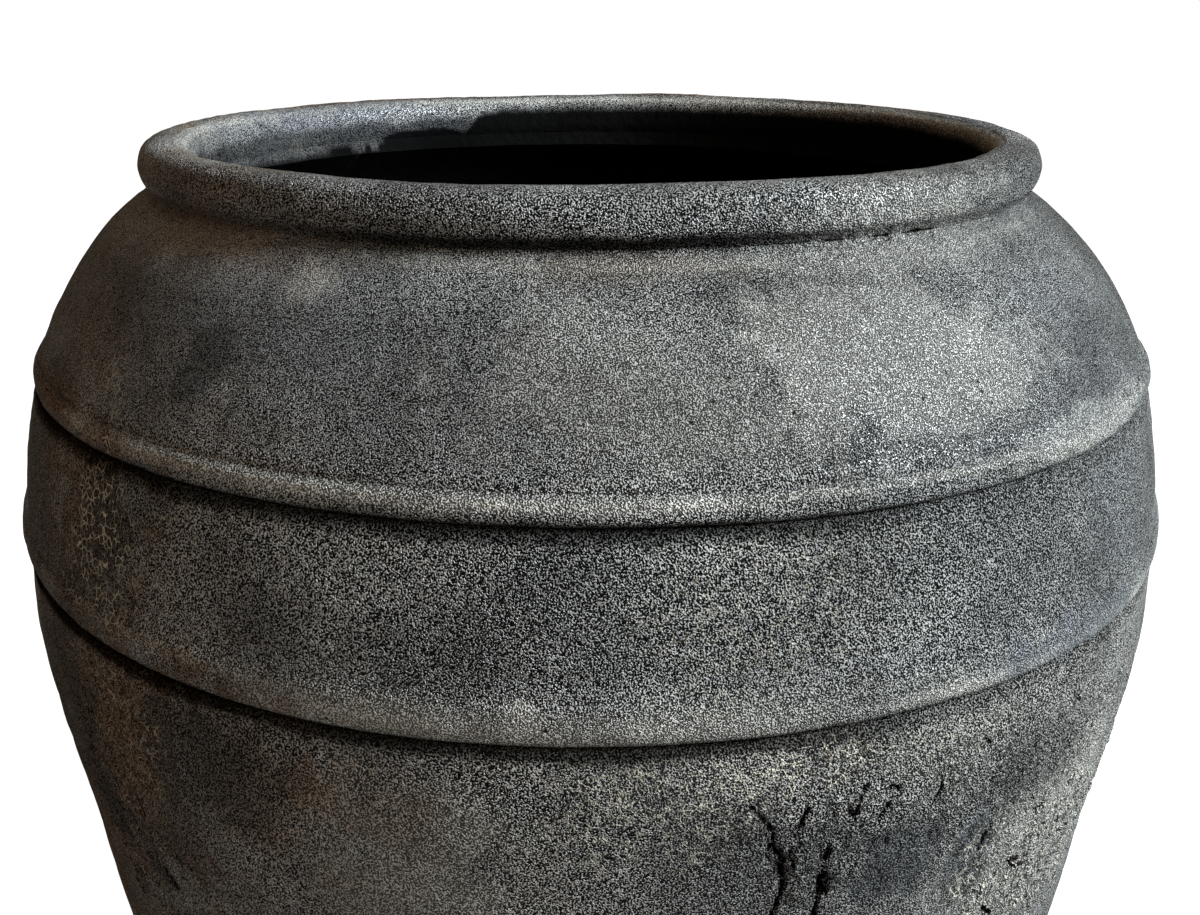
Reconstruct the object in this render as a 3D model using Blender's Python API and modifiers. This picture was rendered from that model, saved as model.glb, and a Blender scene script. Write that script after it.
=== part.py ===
"""Wide-mouthed black clay pot, coil built.

Metres, +Z up, origin at the centre of the flat underside, so +Z is the axis of the pot.
The pot is raised in courses of clay. Each course meets the next on a bevelled lute joint
that climbs towards the inside, two applied bands cover the joints of the straight collar,
and a rolled coil closes the mouth. Every joint keeps a gap of JOINT_GAP.
"""

import math

import bmesh
import bpy

# Driving dimensions.
POT_HEIGHT = 0.640
BELLY_RADIUS = 0.2992
MOUTH_RADIUS = 0.2014
RIM_ROLL_RADIUS = 0.0126
WALL_THICKNESS = 0.018
SHOULDER_THICKNESS = 0.016
FOOT_THICKNESS = 0.021
FLOOR_THICKNESS = 0.022
JOINT_GAP = 0.0003
JOINT_CLIMB = 0.009

# Heights where one course of the wall ends and the next starts, on the outer face.
FOOT_TOP = 0.125
LOWER_TOP = 0.255
BODY_TOP = 0.388
BELLY_TOP = 0.458
COLLAR_TOP = 0.5375

# The neck: where the shoulder runs in under the rolled rim.
NECK_RADIUS = 0.2200
NECK_HEIGHT = 0.6163
THROAT_RADIUS = 0.2030
TONGUE_HALF_WIDTH = 0.0035
TONGUE_HEIGHT = 0.006
TONGUE_TAPER = 0.001
SHOULDER_INNER_TOP = 0.607

# The applied bands. Each one sits in a shallow seat, on a ledge of the course below.
UPPER_BAND_BOTTOM = 0.5306
UPPER_BAND_TOP = 0.5490
UPPER_BAND_CREST = 0.2856
LOWER_BAND_BOTTOM = 0.4505
LOWER_BAND_TOP = 0.4785
LOWER_BAND_CREST = 0.3001
UPPER_SEAT_DEPTH = 0.0015
LOWER_SEAT_DEPTH = 0.0030

# The bulge of a band: how far each point lies behind the crest and above the lower edge.
UPPER_BAND_BULGE = [
    (0.0023, 0.0130),
    (0.0003, 0.0090),
    (0.0000, 0.0055),
    (0.0006, 0.0020),
    (0.0026, 0.0000),
]
LOWER_BAND_BULGE = [
    (0.0018, 0.0210),
    (0.0003, 0.0160),
    (0.0000, 0.0110),
    (0.0006, 0.0060),
    (0.0020, 0.0022),
    (0.0046, 0.0000),
]
# How far the rounded top edge of the course below runs down from the band's ledge.
COLLAR_EDGE_ROUND = 0.0045
BELLY_EDGE_ROUND = 0.0030

# The base.
HEEL_RADIUS = 0.2070
HEEL_ROUND = 0.009
WALL_REBATE = 0.006
WALL_SEAT_RADIUS = 0.1905
COIL_SEAT_RADIUS = 0.1800
COIL_SEAT_DEPTH = 0.0015
COIL_TOP = 0.036
COIL_TOE = 0.002
FOOT_INNER_START = 0.040
# The hollow face of the floor coil, as shares of its width and of its height.
COIL_HOLLOW = [(0.00, 0.14), (0.45, 0.32), (0.75, 0.60)]

ROUND_STEPS = 48
SHARP_ANGLE = math.radians(35)

# The outer face of the wall without its bands, as height and radius from foot to neck.
WALL_OUTLINE = [
    (0.0000, HEEL_RADIUS),
    (0.0600, 0.2300),
    (0.1250, 0.2510),
    (0.1900, 0.2672),
    (0.2550, 0.2790),
    (0.3200, 0.2870),
    (0.3700, 0.2950),
    (0.4150, BELLY_RADIUS),
    (0.4500, 0.2982),
    (0.4900, 0.2944),
    (0.5260, 0.2866),
    (0.5500, 0.2785),
    (0.5750, 0.2638),
    (0.5950, 0.2478),
    (0.6080, 0.2330),
    (NECK_HEIGHT, NECK_RADIUS),
]


def clear_scene():
    for obj in list(bpy.data.objects):
        bpy.data.objects.remove(obj, do_unlink=True)


def slope_at(index):
    """Radius gained per metre of height at one point of WALL_OUTLINE."""
    before = WALL_OUTLINE[max(index - 1, 0)]
    after = WALL_OUTLINE[min(index + 1, len(WALL_OUTLINE) - 1)]
    return (after[1] - before[1]) / (after[0] - before[0])


def outer_radius(height):
    """Radius of the outer face: a smooth curve through WALL_OUTLINE."""
    index = 0
    while index < len(WALL_OUTLINE) - 2 and WALL_OUTLINE[index + 1][0] < height:
        index += 1
    (low, r_low), (high, r_high) = WALL_OUTLINE[index], WALL_OUTLINE[index + 1]
    span = high - low
    t = (height - low) / span
    return (
        (2 * t**3 - 3 * t**2 + 1) * r_low
        + (t**3 - 2 * t**2 + t) * span * slope_at(index)
        + (3 * t**2 - 2 * t**3) * r_high
        + (t**3 - t**2) * span * slope_at(index + 1)
    )


def thickness_at(height):
    """Wall thickness: heavy at the foot, lightest at the shoulder."""
    if height < BODY_TOP:
        share = height / BODY_TOP
        return FOOT_THICKNESS + share * (WALL_THICKNESS - FOOT_THICKNESS)
    share = (height - BODY_TOP) / (NECK_HEIGHT - BODY_TOP)
    return WALL_THICKNESS + share * (SHOULDER_THICKNESS - WALL_THICKNESS)


def inner_point(height):
    """The point of the inner face that lies square behind the outer face at this height."""
    step = 0.001
    lean = (outer_radius(height + step) - outer_radius(height - step)) / (2 * step)
    length = math.hypot(1, lean)
    thickness = thickness_at(height)
    radius = outer_radius(height) - thickness / length
    return max(radius, THROAT_RADIUS), height + thickness * lean / length


def spaced(start, end, count):
    return [start + (end - start) * i / (count - 1) for i in range(count)]


def outer_run(top, bottom, count):
    """Points down the outer face."""
    return [(outer_radius(z), z) for z in spaced(top, bottom, count)]


def inner_run(bottom, top, count):
    """Points up the inner face."""
    return [inner_point(z) for z in spaced(bottom, top, count)]


def arc(centre, radius, start_deg, end_deg, count):
    """Points along an arc of the section; angles are counted from +X towards +Z."""
    return [
        (
            centre[0] + radius * math.cos(math.radians(a)),
            centre[1] + radius * math.sin(math.radians(a)),
        )
        for a in spaced(start_deg, end_deg, count)
    ]


def clay(name, colour, roughness):
    material = bpy.data.materials.new(name)
    material.use_nodes = True
    shader = material.node_tree.nodes["Principled BSDF"]
    shader.inputs["Base Color"].default_value = (*colour, 1.0)
    shader.inputs["Roughness"].default_value = roughness
    shader.inputs["Metallic"].default_value = 0.0
    return material


def turned(name, section, collection, material, closed=True):
    """Spins a section about Z. It runs down the outer side first, top to bottom."""
    profile = bmesh.new()
    points = [profile.verts.new((r, 0.0, z)) for r, z in section]
    for first, second in zip(points, points[1:]):
        profile.edges.new((first, second))
    if closed:
        profile.edges.new((points[-1], points[0]))
    outline = bpy.data.meshes.new(name + "_outline")
    profile.to_mesh(outline)
    profile.free()

    obj = bpy.data.objects.new(name, outline)
    collection.objects.link(obj)
    spin = obj.modifiers.new("turn", "SCREW")
    spin.axis = "Z"
    spin.angle = 2 * math.pi
    spin.steps = ROUND_STEPS
    spin.render_steps = ROUND_STEPS
    spin.use_merge_vertices = True
    spin.merge_threshold = 0.00001

    graph = bpy.context.evaluated_depsgraph_get()
    turned_mesh = bpy.data.meshes.new_from_object(obj.evaluated_get(graph))
    turned_mesh.name = name
    obj.modifiers.clear()
    obj.data = turned_mesh
    bpy.data.meshes.remove(outline)
    turned_mesh.shade_smooth()
    turned_mesh.set_sharp_from_angle(angle=SHARP_ANGLE)
    turned_mesh.materials.append(material)
    return obj


def base_section():
    """A thick disc: flat underside, rounded heel, and a stepped rim for the wall and coil."""
    margin_top = FLOOR_THICKNESS - WALL_REBATE
    heel_centre = (outer_radius(HEEL_ROUND) - HEEL_ROUND, HEEL_ROUND)
    section = [(0.0, FLOOR_THICKNESS), (COIL_SEAT_RADIUS, FLOOR_THICKNESS)]
    section += [(COIL_SEAT_RADIUS, FLOOR_THICKNESS - COIL_SEAT_DEPTH)]
    section += [(WALL_SEAT_RADIUS, FLOOR_THICKNESS - COIL_SEAT_DEPTH)]
    section += [(WALL_SEAT_RADIUS, margin_top), (outer_radius(margin_top), margin_top)]
    section += arc(heel_centre, HEEL_ROUND, 0, -90, 4)
    section += [(0.0, 0.0)]
    return section


def foot_section():
    """The first course. It stands in the rebate round the base."""
    bottom = FLOOR_THICKNESS - WALL_REBATE + JOINT_GAP
    top = FOOT_TOP - JOINT_GAP
    section = outer_run(top, bottom, 4)
    section += [(WALL_SEAT_RADIUS + JOINT_GAP, bottom)]
    section += inner_run(FOOT_INNER_START, top + JOINT_CLIMB, 4)
    return section


def plain_course_section(bottom, top, count):
    """A course between two lute joints that climb towards the inside."""
    section = outer_run(top - JOINT_GAP, bottom, count)
    section += inner_run(bottom + JOINT_CLIMB, top - JOINT_GAP + JOINT_CLIMB, count)
    return section


def band_lip(crest, bulge):
    """Radius of a band's lower edge, where it meets the course that carries it."""
    return crest - bulge[-1][0]


def upper_seat_radius():
    return outer_radius(UPPER_BAND_TOP) - UPPER_SEAT_DEPTH


def lower_seat_radius():
    return outer_radius(LOWER_BAND_TOP) - LOWER_SEAT_DEPTH


def belly_section():
    """The widest course. Its top edge is a ledge that carries the lower band."""
    seat = lower_seat_radius()
    ledge = LOWER_BAND_BOTTOM
    inner_top = BELLY_TOP - JOINT_GAP + JOINT_CLIMB
    section = [(seat, BELLY_TOP - JOINT_GAP), (seat, ledge)]
    section += [(band_lip(LOWER_BAND_CREST, LOWER_BAND_BULGE), ledge)]
    section += outer_run(ledge - BELLY_EDGE_ROUND, BODY_TOP, 4)
    section += inner_run(BODY_TOP + JOINT_CLIMB, inner_top, 4)
    return section


def collar_section():
    """The straight course between the bands. Its rounded top edge carries the upper band."""
    upper = upper_seat_radius()
    lower = lower_seat_radius()
    ledge = UPPER_BAND_BOTTOM
    inner_top = COLLAR_TOP - JOINT_GAP + JOINT_CLIMB
    section = [(upper, COLLAR_TOP - JOINT_GAP), (upper, ledge)]
    section += [(band_lip(UPPER_BAND_CREST, UPPER_BAND_BULGE), ledge)]
    section += outer_run(ledge - COLLAR_EDGE_ROUND, LOWER_BAND_TOP, 5)
    section += [(lower, LOWER_BAND_TOP), (lower, BELLY_TOP)]
    section += inner_run(BELLY_TOP + JOINT_CLIMB, inner_top, 5)
    return section


def tongue_section(grow):
    """The raised edge of the neck, bottom inside to bottom outside, grown by a clearance."""
    middle = (NECK_RADIUS + THROAT_RADIUS) / 2
    half = TONGUE_HALF_WIDTH + grow
    top = NECK_HEIGHT + TONGUE_HEIGHT + grow
    return [
        (middle - half - TONGUE_TAPER, NECK_HEIGHT),
        (middle - half, top),
        (middle + half, top),
        (middle + half + TONGUE_TAPER, NECK_HEIGHT),
    ]


def shoulder_section():
    """The course that closes the pot in to the neck, with a tongue for the rim on top."""
    seat = upper_seat_radius()
    section = tongue_section(0.0)[2:]
    section += outer_run(NECK_HEIGHT, UPPER_BAND_TOP, 7)
    section += [(seat, UPPER_BAND_TOP), (seat, COLLAR_TOP)]
    section += inner_run(COLLAR_TOP + JOINT_CLIMB, SHOULDER_INNER_TOP, 6)
    section += [(THROAT_RADIUS, NECK_HEIGHT)]
    section += tongue_section(0.0)[:2]
    return section


def rim_section():
    """A round coil pressed down over the neck's tongue, straight on its inner side."""
    centre = (MOUTH_RADIUS + RIM_ROLL_RADIUS, POT_HEIGHT - RIM_ROLL_RADIUS)
    bottom = NECK_HEIGHT + JOINT_GAP
    section = arc(centre, RIM_ROLL_RADIUS, 180, 90, 5)
    section += arc(centre, RIM_ROLL_RADIUS, 90, -57, 8)[1:]
    groove = [(r, z + JOINT_GAP) for r, z in tongue_section(JOINT_GAP)]
    section += [(NECK_RADIUS, bottom)]
    section += groove[::-1]
    section += [(MOUTH_RADIUS, bottom)]
    return section


def band_section(crest, bulge, top, bottom, seat):
    """A flattened strip whose back stands in its seat, and whose fullest part is low down."""
    top -= JOINT_GAP
    bottom += JOINT_GAP
    back = seat + JOINT_GAP
    section = [(outer_radius(top), top)]
    section += [(crest - behind, bottom + above) for behind, above in bulge]
    section += [(back, bottom), (back, top)]
    return section


def foot_inner_radius(height):
    """Radius of the foot course's straight inner face near the floor."""
    start_radius, start = WALL_SEAT_RADIUS + JOINT_GAP, FLOOR_THICKNESS - WALL_REBATE
    end_radius, end = inner_point(FOOT_INNER_START)
    return start_radius + (end_radius - start_radius) * (height - start) / (end - start)


def floor_coil_section():
    """A thin coil pressed into the corner between the floor and the wall."""
    bottom = FLOOR_THICKNESS - COIL_SEAT_DEPTH + JOINT_GAP
    inside = COIL_SEAT_RADIUS + JOINT_GAP
    top_radius = foot_inner_radius(COIL_TOP) - 3 * JOINT_GAP
    width = top_radius - inside
    rise = COIL_TOP - bottom
    toe = bottom + COIL_TOE
    section = [(top_radius, COIL_TOP), (foot_inner_radius(toe) - 2 * JOINT_GAP, toe)]
    section += [(WALL_SEAT_RADIUS - JOINT_GAP, bottom), (inside, bottom)]
    section += [(inside + across * width, bottom + up * rise) for across, up in COIL_HOLLOW]
    return section


def build():
    clear_scene()
    parts = bpy.data.collections.new("black_clay_pot")
    bpy.context.scene.collection.children.link(parts)

    charcoal = (0.034, 0.033, 0.032)
    slate = (0.042, 0.043, 0.045)
    umber = (0.036, 0.031, 0.027)
    soot = (0.012, 0.012, 0.012)

    lower = plain_course_section(FOOT_TOP, LOWER_TOP, 4)
    body = plain_course_section(LOWER_TOP, BODY_TOP, 5)
    upper_band = band_section(
        UPPER_BAND_CREST,
        UPPER_BAND_BULGE,
        UPPER_BAND_TOP,
        UPPER_BAND_BOTTOM,
        upper_seat_radius(),
    )
    lower_band = band_section(
        LOWER_BAND_CREST,
        LOWER_BAND_BULGE,
        LOWER_BAND_TOP,
        LOWER_BAND_BOTTOM,
        lower_seat_radius(),
    )
    turned("base_slab", base_section(), parts, clay("base_clay", umber, 0.75), closed=False)
    turned("floor_coil", floor_coil_section(), parts, clay("coil_clay", soot, 0.80))
    turned("foot_course", foot_section(), parts, clay("foot_clay", umber, 0.65))
    turned("lower_course", lower, parts, clay("lower_clay", umber, 0.62))
    turned("body_course", body, parts, clay("body_clay", umber, 0.60))
    turned("belly_course", belly_section(), parts, clay("belly_clay", charcoal, 0.58))
    turned("collar_course", collar_section(), parts, clay("collar_clay", charcoal, 0.55))
    turned("shoulder_course", shoulder_section(), parts, clay("shoulder_clay", slate, 0.48))
    turned("rim_coil", rim_section(), parts, clay("rim_clay", slate, 0.50))
    turned("upper_band", upper_band, parts, clay("upper_band_clay", slate, 0.46))
    turned("lower_band", lower_band, parts, clay("lower_band_clay", slate, 0.42))


build()
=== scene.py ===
# %% [markdown]
# # A large pot in black-fired clay
#
# The pot is built from coils of clay, scraped, rolled over at the mouth, wrapped with two raised
# bands and fired with no air in the kiln, which turns the clay black right through. This lesson
# builds its looks round a imported model that already fixes every size: eleven solids on one body.
# Everything is in metres, +Z is up, and the pot stands on its own flat underside at the origin.
# The first step is to load that frame, whose boxes give the sizes.

import math

import bmesh
import bpy
import numpy as np
from mathutils import Matrix, Vector


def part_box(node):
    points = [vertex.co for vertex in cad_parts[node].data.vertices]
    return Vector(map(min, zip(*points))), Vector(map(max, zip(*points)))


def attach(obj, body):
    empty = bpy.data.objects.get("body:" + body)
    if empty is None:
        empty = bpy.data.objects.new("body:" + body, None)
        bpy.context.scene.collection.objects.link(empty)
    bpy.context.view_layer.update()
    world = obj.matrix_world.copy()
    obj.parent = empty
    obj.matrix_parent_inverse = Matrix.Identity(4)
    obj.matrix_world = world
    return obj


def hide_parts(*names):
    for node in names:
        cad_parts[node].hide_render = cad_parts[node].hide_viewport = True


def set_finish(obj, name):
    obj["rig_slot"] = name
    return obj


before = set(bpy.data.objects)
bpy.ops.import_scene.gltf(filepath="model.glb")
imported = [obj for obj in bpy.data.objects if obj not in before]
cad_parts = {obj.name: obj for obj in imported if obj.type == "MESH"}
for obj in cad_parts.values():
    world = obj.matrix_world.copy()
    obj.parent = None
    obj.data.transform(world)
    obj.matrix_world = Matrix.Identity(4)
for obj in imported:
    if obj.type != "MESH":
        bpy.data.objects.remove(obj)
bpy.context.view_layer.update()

# %% [markdown]
# ## Sizes
#
# A turned shape needs one thing above all: the line of its section. The frame says where each
# course starts, how far the bands stand out and how high the rim sits, so those are read from it.
# Between them the wall follows a short list of heights and radii, joined by a smooth curve. Sixteen
# points are enough, because the curve does the rounding.

# %% Read the driving sizes from the frame
MM = 0.001
GAP = 0.0003
CLIMB = 0.009
lower_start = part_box("lower_course")[0].z
body_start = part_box("body_course")[0].z
belly_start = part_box("belly_course")[0].z
collar_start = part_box("collar_course")[0].z
shoulder_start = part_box("shoulder_course")[0].z
neck_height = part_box("rim_coil")[0].z - GAP
pot_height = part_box("rim_coil")[1].z
floor_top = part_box("base_slab")[1].z
lower_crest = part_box("lower_band")[1].x
upper_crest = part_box("upper_band")[1].x
lower_lip, lower_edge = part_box("lower_band")[0].z - GAP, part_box("lower_band")[1].z + GAP
upper_lip, upper_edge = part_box("upper_band")[0].z - GAP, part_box("upper_band")[1].z + GAP
ROLL = 0.0126  # half the thickness of the rim's coil
NECK = 0.2200  # outside radius under the rim
THROAT = 0.2030  # inside radius under the rim
MOUTH = 0.2014  # inside radius of the rim
COVE = 0.0014  # how far the rim's underside stands out from the neck
print(f"pot {pot_height * 1000:.0f} mm high, widest {lower_crest * 2000:.0f} mm")

# %% The line of the wall
WALL_LINE = [
    (0.0000, 0.2070),
    (0.0600, 0.2300),
    (0.1250, 0.2510),
    (0.1900, 0.2672),
    (0.2550, 0.2790),
    (0.3200, 0.2870),
    (0.3700, 0.2950),
    (0.4150, 0.2992),
    (0.4500, 0.2982),
    (0.4900, 0.2944),
    (0.5260, 0.2866),
    (0.5500, 0.2785),
    (0.5750, 0.2638),
    (0.5950, 0.2478),
    (0.6080, 0.2330),
    (neck_height, NECK),
]


def wall_radius(height):
    """Radius of the wall's outer face at one height or at an array of heights."""
    z, r = np.array(WALL_LINE).T
    slope = np.empty(len(z))
    slope[1:-1] = (r[2:] - r[:-2]) / (z[2:] - z[:-2])
    slope[0] = (r[1] - r[0]) / (z[1] - z[0])
    slope[-1] = (r[-1] - r[-2]) / (z[-1] - z[-2])
    height = np.clip(height, z[0], z[-1])
    i = np.clip(np.searchsorted(z, height, side="right") - 1, 0, len(z) - 2)
    span = z[i + 1] - z[i]
    t = (height - z[i]) / span
    start = (2 * t**3 - 3 * t**2 + 1) * r[i] + (t**3 - 2 * t**2 + t) * span * slope[i]
    end = (3 * t**2 - 2 * t**3) * r[i + 1] + (t**3 - t**2) * span * slope[i + 1]
    return start + end


def wall_lean(height):
    """How much the outer face widens for each metre of height."""
    step = 0.001
    return (wall_radius(height + step) - wall_radius(height - step)) / (2 * step)


def inner_point(height):
    """The point of the inner face that lies square behind the outer face."""
    knots = (0.0, belly_start, neck_height)
    thickness = np.interp(height, knots, (0.021, 0.018, 0.016))
    lean = wall_lean(height)
    length = math.hypot(1, lean)
    radius = wall_radius(height) - thickness / length
    return max(radius, THROAT), height + thickness * lean / length


print(f"wall at the belly {wall_radius(0.415) * 1000:.1f} mm from the axis")

# %% [markdown]
# ## Sections
#
# Each piece of the pot gets its own closed section: down the outer face, across the joint under
# it, up the inner face and back across the joint on top. Neighbours share the edge points of a
# joint, so no seam shows, as on the real pot, where the potter smears it over. Between the edges
# the two joint faces stand a fraction of a millimetre apart, because they are two pieces of clay.
# Each point also says whether it is outer skin, inner skin or hidden, which the later steps need.

# %% Helpers for a section
OUTER, INNER, HIDDEN = 0, 1, 2
FINE_ROW = 0.0022
COARSE_ROW = 0.0030
INSIDE_ROW = 0.0120
BEAD_ROW = 0.0012


def spaced(start, end, step):
    """Evenly spaced values from start to end, about a step apart."""
    count = max(2, round(abs(end - start) / step) + 1)
    return np.linspace(start, end, count)


def outer_run(top, bottom, row=FINE_ROW):
    """Down the outer face."""
    return [(float(wall_radius(z)), z, OUTER) for z in spaced(top, bottom, row)]


def inner_run(bottom, top, row=INSIDE_ROW):
    """Up the inner face."""
    return [(*inner_point(z), INNER) for z in spaced(bottom, top, row)]


def joint(start, end, lift):
    """Two hidden points of a joint, standing back from the neighbour."""
    steps = [(start[0] + (end[0] - start[0]) * s, start[1] + (end[1] - start[1]) * s)
             for s in (0.2, 0.8)]
    return [(r, z + lift, HIDDEN) for r, z in steps]


def rounded(points, row, face):
    """A smooth curve through a few points, with a point every row."""
    p = np.array([points[0], *points, points[-1]], float)
    made = []
    for a, b, c, d in zip(p, p[1:], p[2:], p[3:]):
        count = max(1, round(float(np.linalg.norm(c - b)) / row))
        for t in np.arange(count) / count:
            cubic = 2 * a - 5 * b + 4 * c - d + t * (3 * (b - c) + d - a)
            made.append(b + 0.5 * t * (c - a + t * cubic))
    made.append(p[-1])
    return [(float(r), float(z), face) for r, z in made]


def arc(centre, radius, start, end, row, face):
    """An arc of the section; angles count from +X towards +Z, in degrees."""
    step = math.degrees(row / radius)
    return [(centre[0] + radius * math.cos(a), centre[1] + radius * math.sin(a), face)
            for a in np.radians(spaced(start, end, step))]


# %% The sections of the base and the plain courses
HEEL = 0.009
REBATE = 0.006
WALL_SEAT = 0.1905
COIL_SEAT = 0.1800
SEAT_DROP = 0.0015
FOOT_INSIDE = 0.040
COIL_TOP = 0.036


def base_section():
    step_height = floor_top - REBATE
    heel = (float(wall_radius(HEEL)) - HEEL, HEEL)
    section = [(r, floor_top, INNER) for r in spaced(0.0, COIL_SEAT, INSIDE_ROW)]
    seat = [(COIL_SEAT, floor_top - SEAT_DROP), (WALL_SEAT, floor_top - SEAT_DROP), (WALL_SEAT, step_height)]
    section += [(*point, HIDDEN) for point in seat]
    section += outer_run(step_height, HEEL)[:-1]
    section += arc(heel, HEEL, 0, -90, BEAD_ROW * 2, OUTER)
    section += [(r, 0.0, OUTER) for r in spaced(heel[0], 0.0, INSIDE_ROW)[1:]]
    return section


def course_section(bottom, top, row=FINE_ROW):
    outer = outer_run(top, bottom, row)
    inner = inner_run(bottom + CLIMB, top + CLIMB)
    return outer + joint(outer[-1], inner[0], GAP) + inner + joint(inner[-1], outer[0], -GAP)


def foot_section():
    bottom = floor_top - REBATE
    outer = outer_run(lower_start, bottom, COARSE_ROW)
    inner = inner_run(FOOT_INSIDE, lower_start + CLIMB)
    seat = [(WALL_SEAT + GAP, bottom + GAP, HIDDEN)]
    return outer + seat + inner + joint(inner[-1], outer[0], -GAP)


def floor_coil_section():
    """A thin coil pressed into the corner, with a hollow face towards the floor."""
    bottom = floor_top - SEAT_DROP + GAP
    slope_start, slope_end = (WALL_SEAT + GAP, floor_top - REBATE), inner_point(FOOT_INSIDE)
    share = (COIL_TOP - slope_start[1]) / (slope_end[1] - slope_start[1])
    top = (slope_start[0] + share * (slope_end[0] - slope_start[0]) - 3 * GAP, COIL_TOP)
    start = (COIL_SEAT + GAP, bottom)
    width, rise = top[0] - start[0], top[1] - bottom
    shares = ((0, 0.14), (0.45, 0.32), (0.75, 0.6))
    hollow = [(start[0] + width * x, bottom + rise * y) for x, y in shares]
    face = rounded([*hollow, top], BEAD_ROW * 2, INNER)
    back = [(WALL_SEAT - GAP, bottom + 0.002), (WALL_SEAT - GAP, bottom), start]
    return [(*point, HIDDEN) for point in back] + face


# %% [markdown]
# ## Bands, shoulder and rim
#
# A band is a flattened strip of clay luted into a shallow seat, so its section is a low bulge
# with a tight lip that throws a dark line under it. The rim is a thick coil pressed down over a
# tongue on the neck, rolled over outside and patted flat on top. Both are easier to draw as a
# curve through a few points than to cut out of a thicker wall. A bulge's points give how far each
# lies behind the crest and how far above the lip.

# %% The sections with bands and rim
upper_seat = float(wall_radius(upper_edge)) - 0.0015
lower_seat = float(wall_radius(lower_edge)) - 0.0030
UPPER_BULGE = [
    (0.0046, 0.0140), (0.0043, 0.0122), (0.0019, 0.0108), (0.0010, 0.0098), (0.0005, 0.0080),
    (0.0, 0.0058), (0.0004, 0.0030), (0.0016, 0.0012), (0.0036, 0.0),
]
LOWER_BULGE = [
    (0.0026, 0.0218), (0.0021, 0.0198), (0.0011, 0.0180), (0.0005, 0.0155),
    (0.0, 0.0105), (0.0004, 0.0060), (0.0018, 0.0024), (0.0050, 0.0),
]


def band_section(crest, bulge, top, bottom, seat):
    """A strip with its bulge outside and a flat back in the seat."""
    points = [(float(wall_radius(top)), top)]
    points += [(crest - behind, bottom + above) for behind, above in bulge]
    back = [(seat + GAP, bottom + GAP, HIDDEN), (seat + GAP, top - GAP, HIDDEN)]
    return rounded(points, BEAD_ROW, OUTER) + back


def ledge(crest, bulge, height, edge_round):
    """The course's rounded top edge, which runs up to the lip of the band."""
    lip = (crest - bulge[-1][0], height, OUTER)
    below = height - edge_round
    middle = ((lip[0] + float(wall_radius(below))) / 2 + 0.0006, height - edge_round * 0.3, OUTER)
    return [lip, middle], below


def belly_section():
    edge, below = ledge(lower_crest, LOWER_BULGE, lower_lip, 0.0030)
    section = [(lower_seat, collar_start - GAP, HIDDEN), (lower_seat, lower_lip, HIDDEN)]
    section += edge + outer_run(below, belly_start, FINE_ROW)
    inner = inner_run(belly_start + CLIMB, collar_start + CLIMB)
    return section + joint(section[-1], inner[0], GAP) + inner


def collar_section():
    edge, below = ledge(upper_crest, UPPER_BULGE, upper_lip, 0.0045)
    section = [(upper_seat, shoulder_start - GAP, HIDDEN), (upper_seat, upper_lip, HIDDEN)]
    section += edge + outer_run(below, lower_edge)
    section += [(lower_seat, lower_edge, HIDDEN), (lower_seat, collar_start, HIDDEN)]
    return section + inner_run(collar_start + CLIMB, shoulder_start + CLIMB)


def tongue(grow):
    """The tongue on the neck, or with some grow the groove for it under the rim."""
    middle, half, top = (NECK + THROAT) / 2, 0.0035 + grow, neck_height + 0.006 + grow
    taper = 0.001
    return [(middle + half + taper, neck_height + grow, HIDDEN), (middle + half, top, HIDDEN),
            (middle - half, top, HIDDEN), (middle - half - taper, neck_height + grow, HIDDEN)]


def shoulder_section():
    """Its top tucks into a soft cove under the rim, with a low ridge below the cove."""
    ridge = neck_height - 0.0055
    cove = [(NECK + COVE, neck_height), (NECK + 0.0026, neck_height - 0.0014),
            (NECK + 0.0056, neck_height - 0.0030), (float(wall_radius(ridge)), ridge)]
    section = rounded(cove, BEAD_ROW, OUTER)[:-1] + outer_run(ridge, upper_edge)
    section += [(upper_seat, upper_edge, HIDDEN), (upper_seat, shoulder_start, HIDDEN)]
    section += inner_run(shoulder_start + CLIMB, 0.607, FINE_ROW * 2)
    section += [(THROAT, z, INNER) for z in spaced(0.608, neck_height, FINE_ROW * 2)]
    return section + tongue(0.0)[::-1]


def rim_section():
    """Flat topped, rolled over outside, then drawn in under itself to the cove of the neck."""
    crown = pot_height
    inside = [
        (THROAT, neck_height), (MOUTH, neck_height + 0.0050), (MOUTH, crown - 0.0110),
        (MOUTH + 0.0012, crown - 0.0056), (MOUTH + 0.0042, crown - 0.0020),
    ]
    outside = [
        (MOUTH + 0.0080, crown - 0.0005), (MOUTH + 0.0132, crown), (MOUTH + 0.0184, crown - 0.0007),
        (MOUTH + 0.0222, crown - 0.0028), (MOUTH + 0.0240, crown - 0.0062),
        (MOUTH + 2 * ROLL, crown - 0.0110), (MOUTH + 0.0248, crown - 0.0150),
        (MOUTH + 0.0236, crown - 0.0186), (MOUTH + 0.0216, crown - 0.0213), (NECK + COVE, neck_height),
    ]
    skin = rounded([*inside, *outside], BEAD_ROW, OUTER)
    section = [(r, z, INNER if r < outside[0][0] else OUTER) for r, z, _ in skin[:-1]]
    return section + skin[-1:] + tongue(GAP)


print("band seats at", round(upper_seat, 4), round(lower_seat, 4))

# %% [markdown]
# ## Turning
#
# The spin operator turns a section into a ring of faces. The vertices carry their "outer" and
# "inner" marks with them as they are copied, so the marks arrive on every vertex of the finished
# mesh. With 840 steps a face is about 2.2 mm wide at the belly, small enough for lumps and flakes
# in real geometry. A spin gets slower with every step, so the section is first spun through one
# wedge, and the wedge is then spun round as copies, whose edges are merged. Where the skin is
# finely broken, its faces are halved once more.

# %% Spin a section into a piece
STEPS = 840
WEDGES = 28


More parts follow.
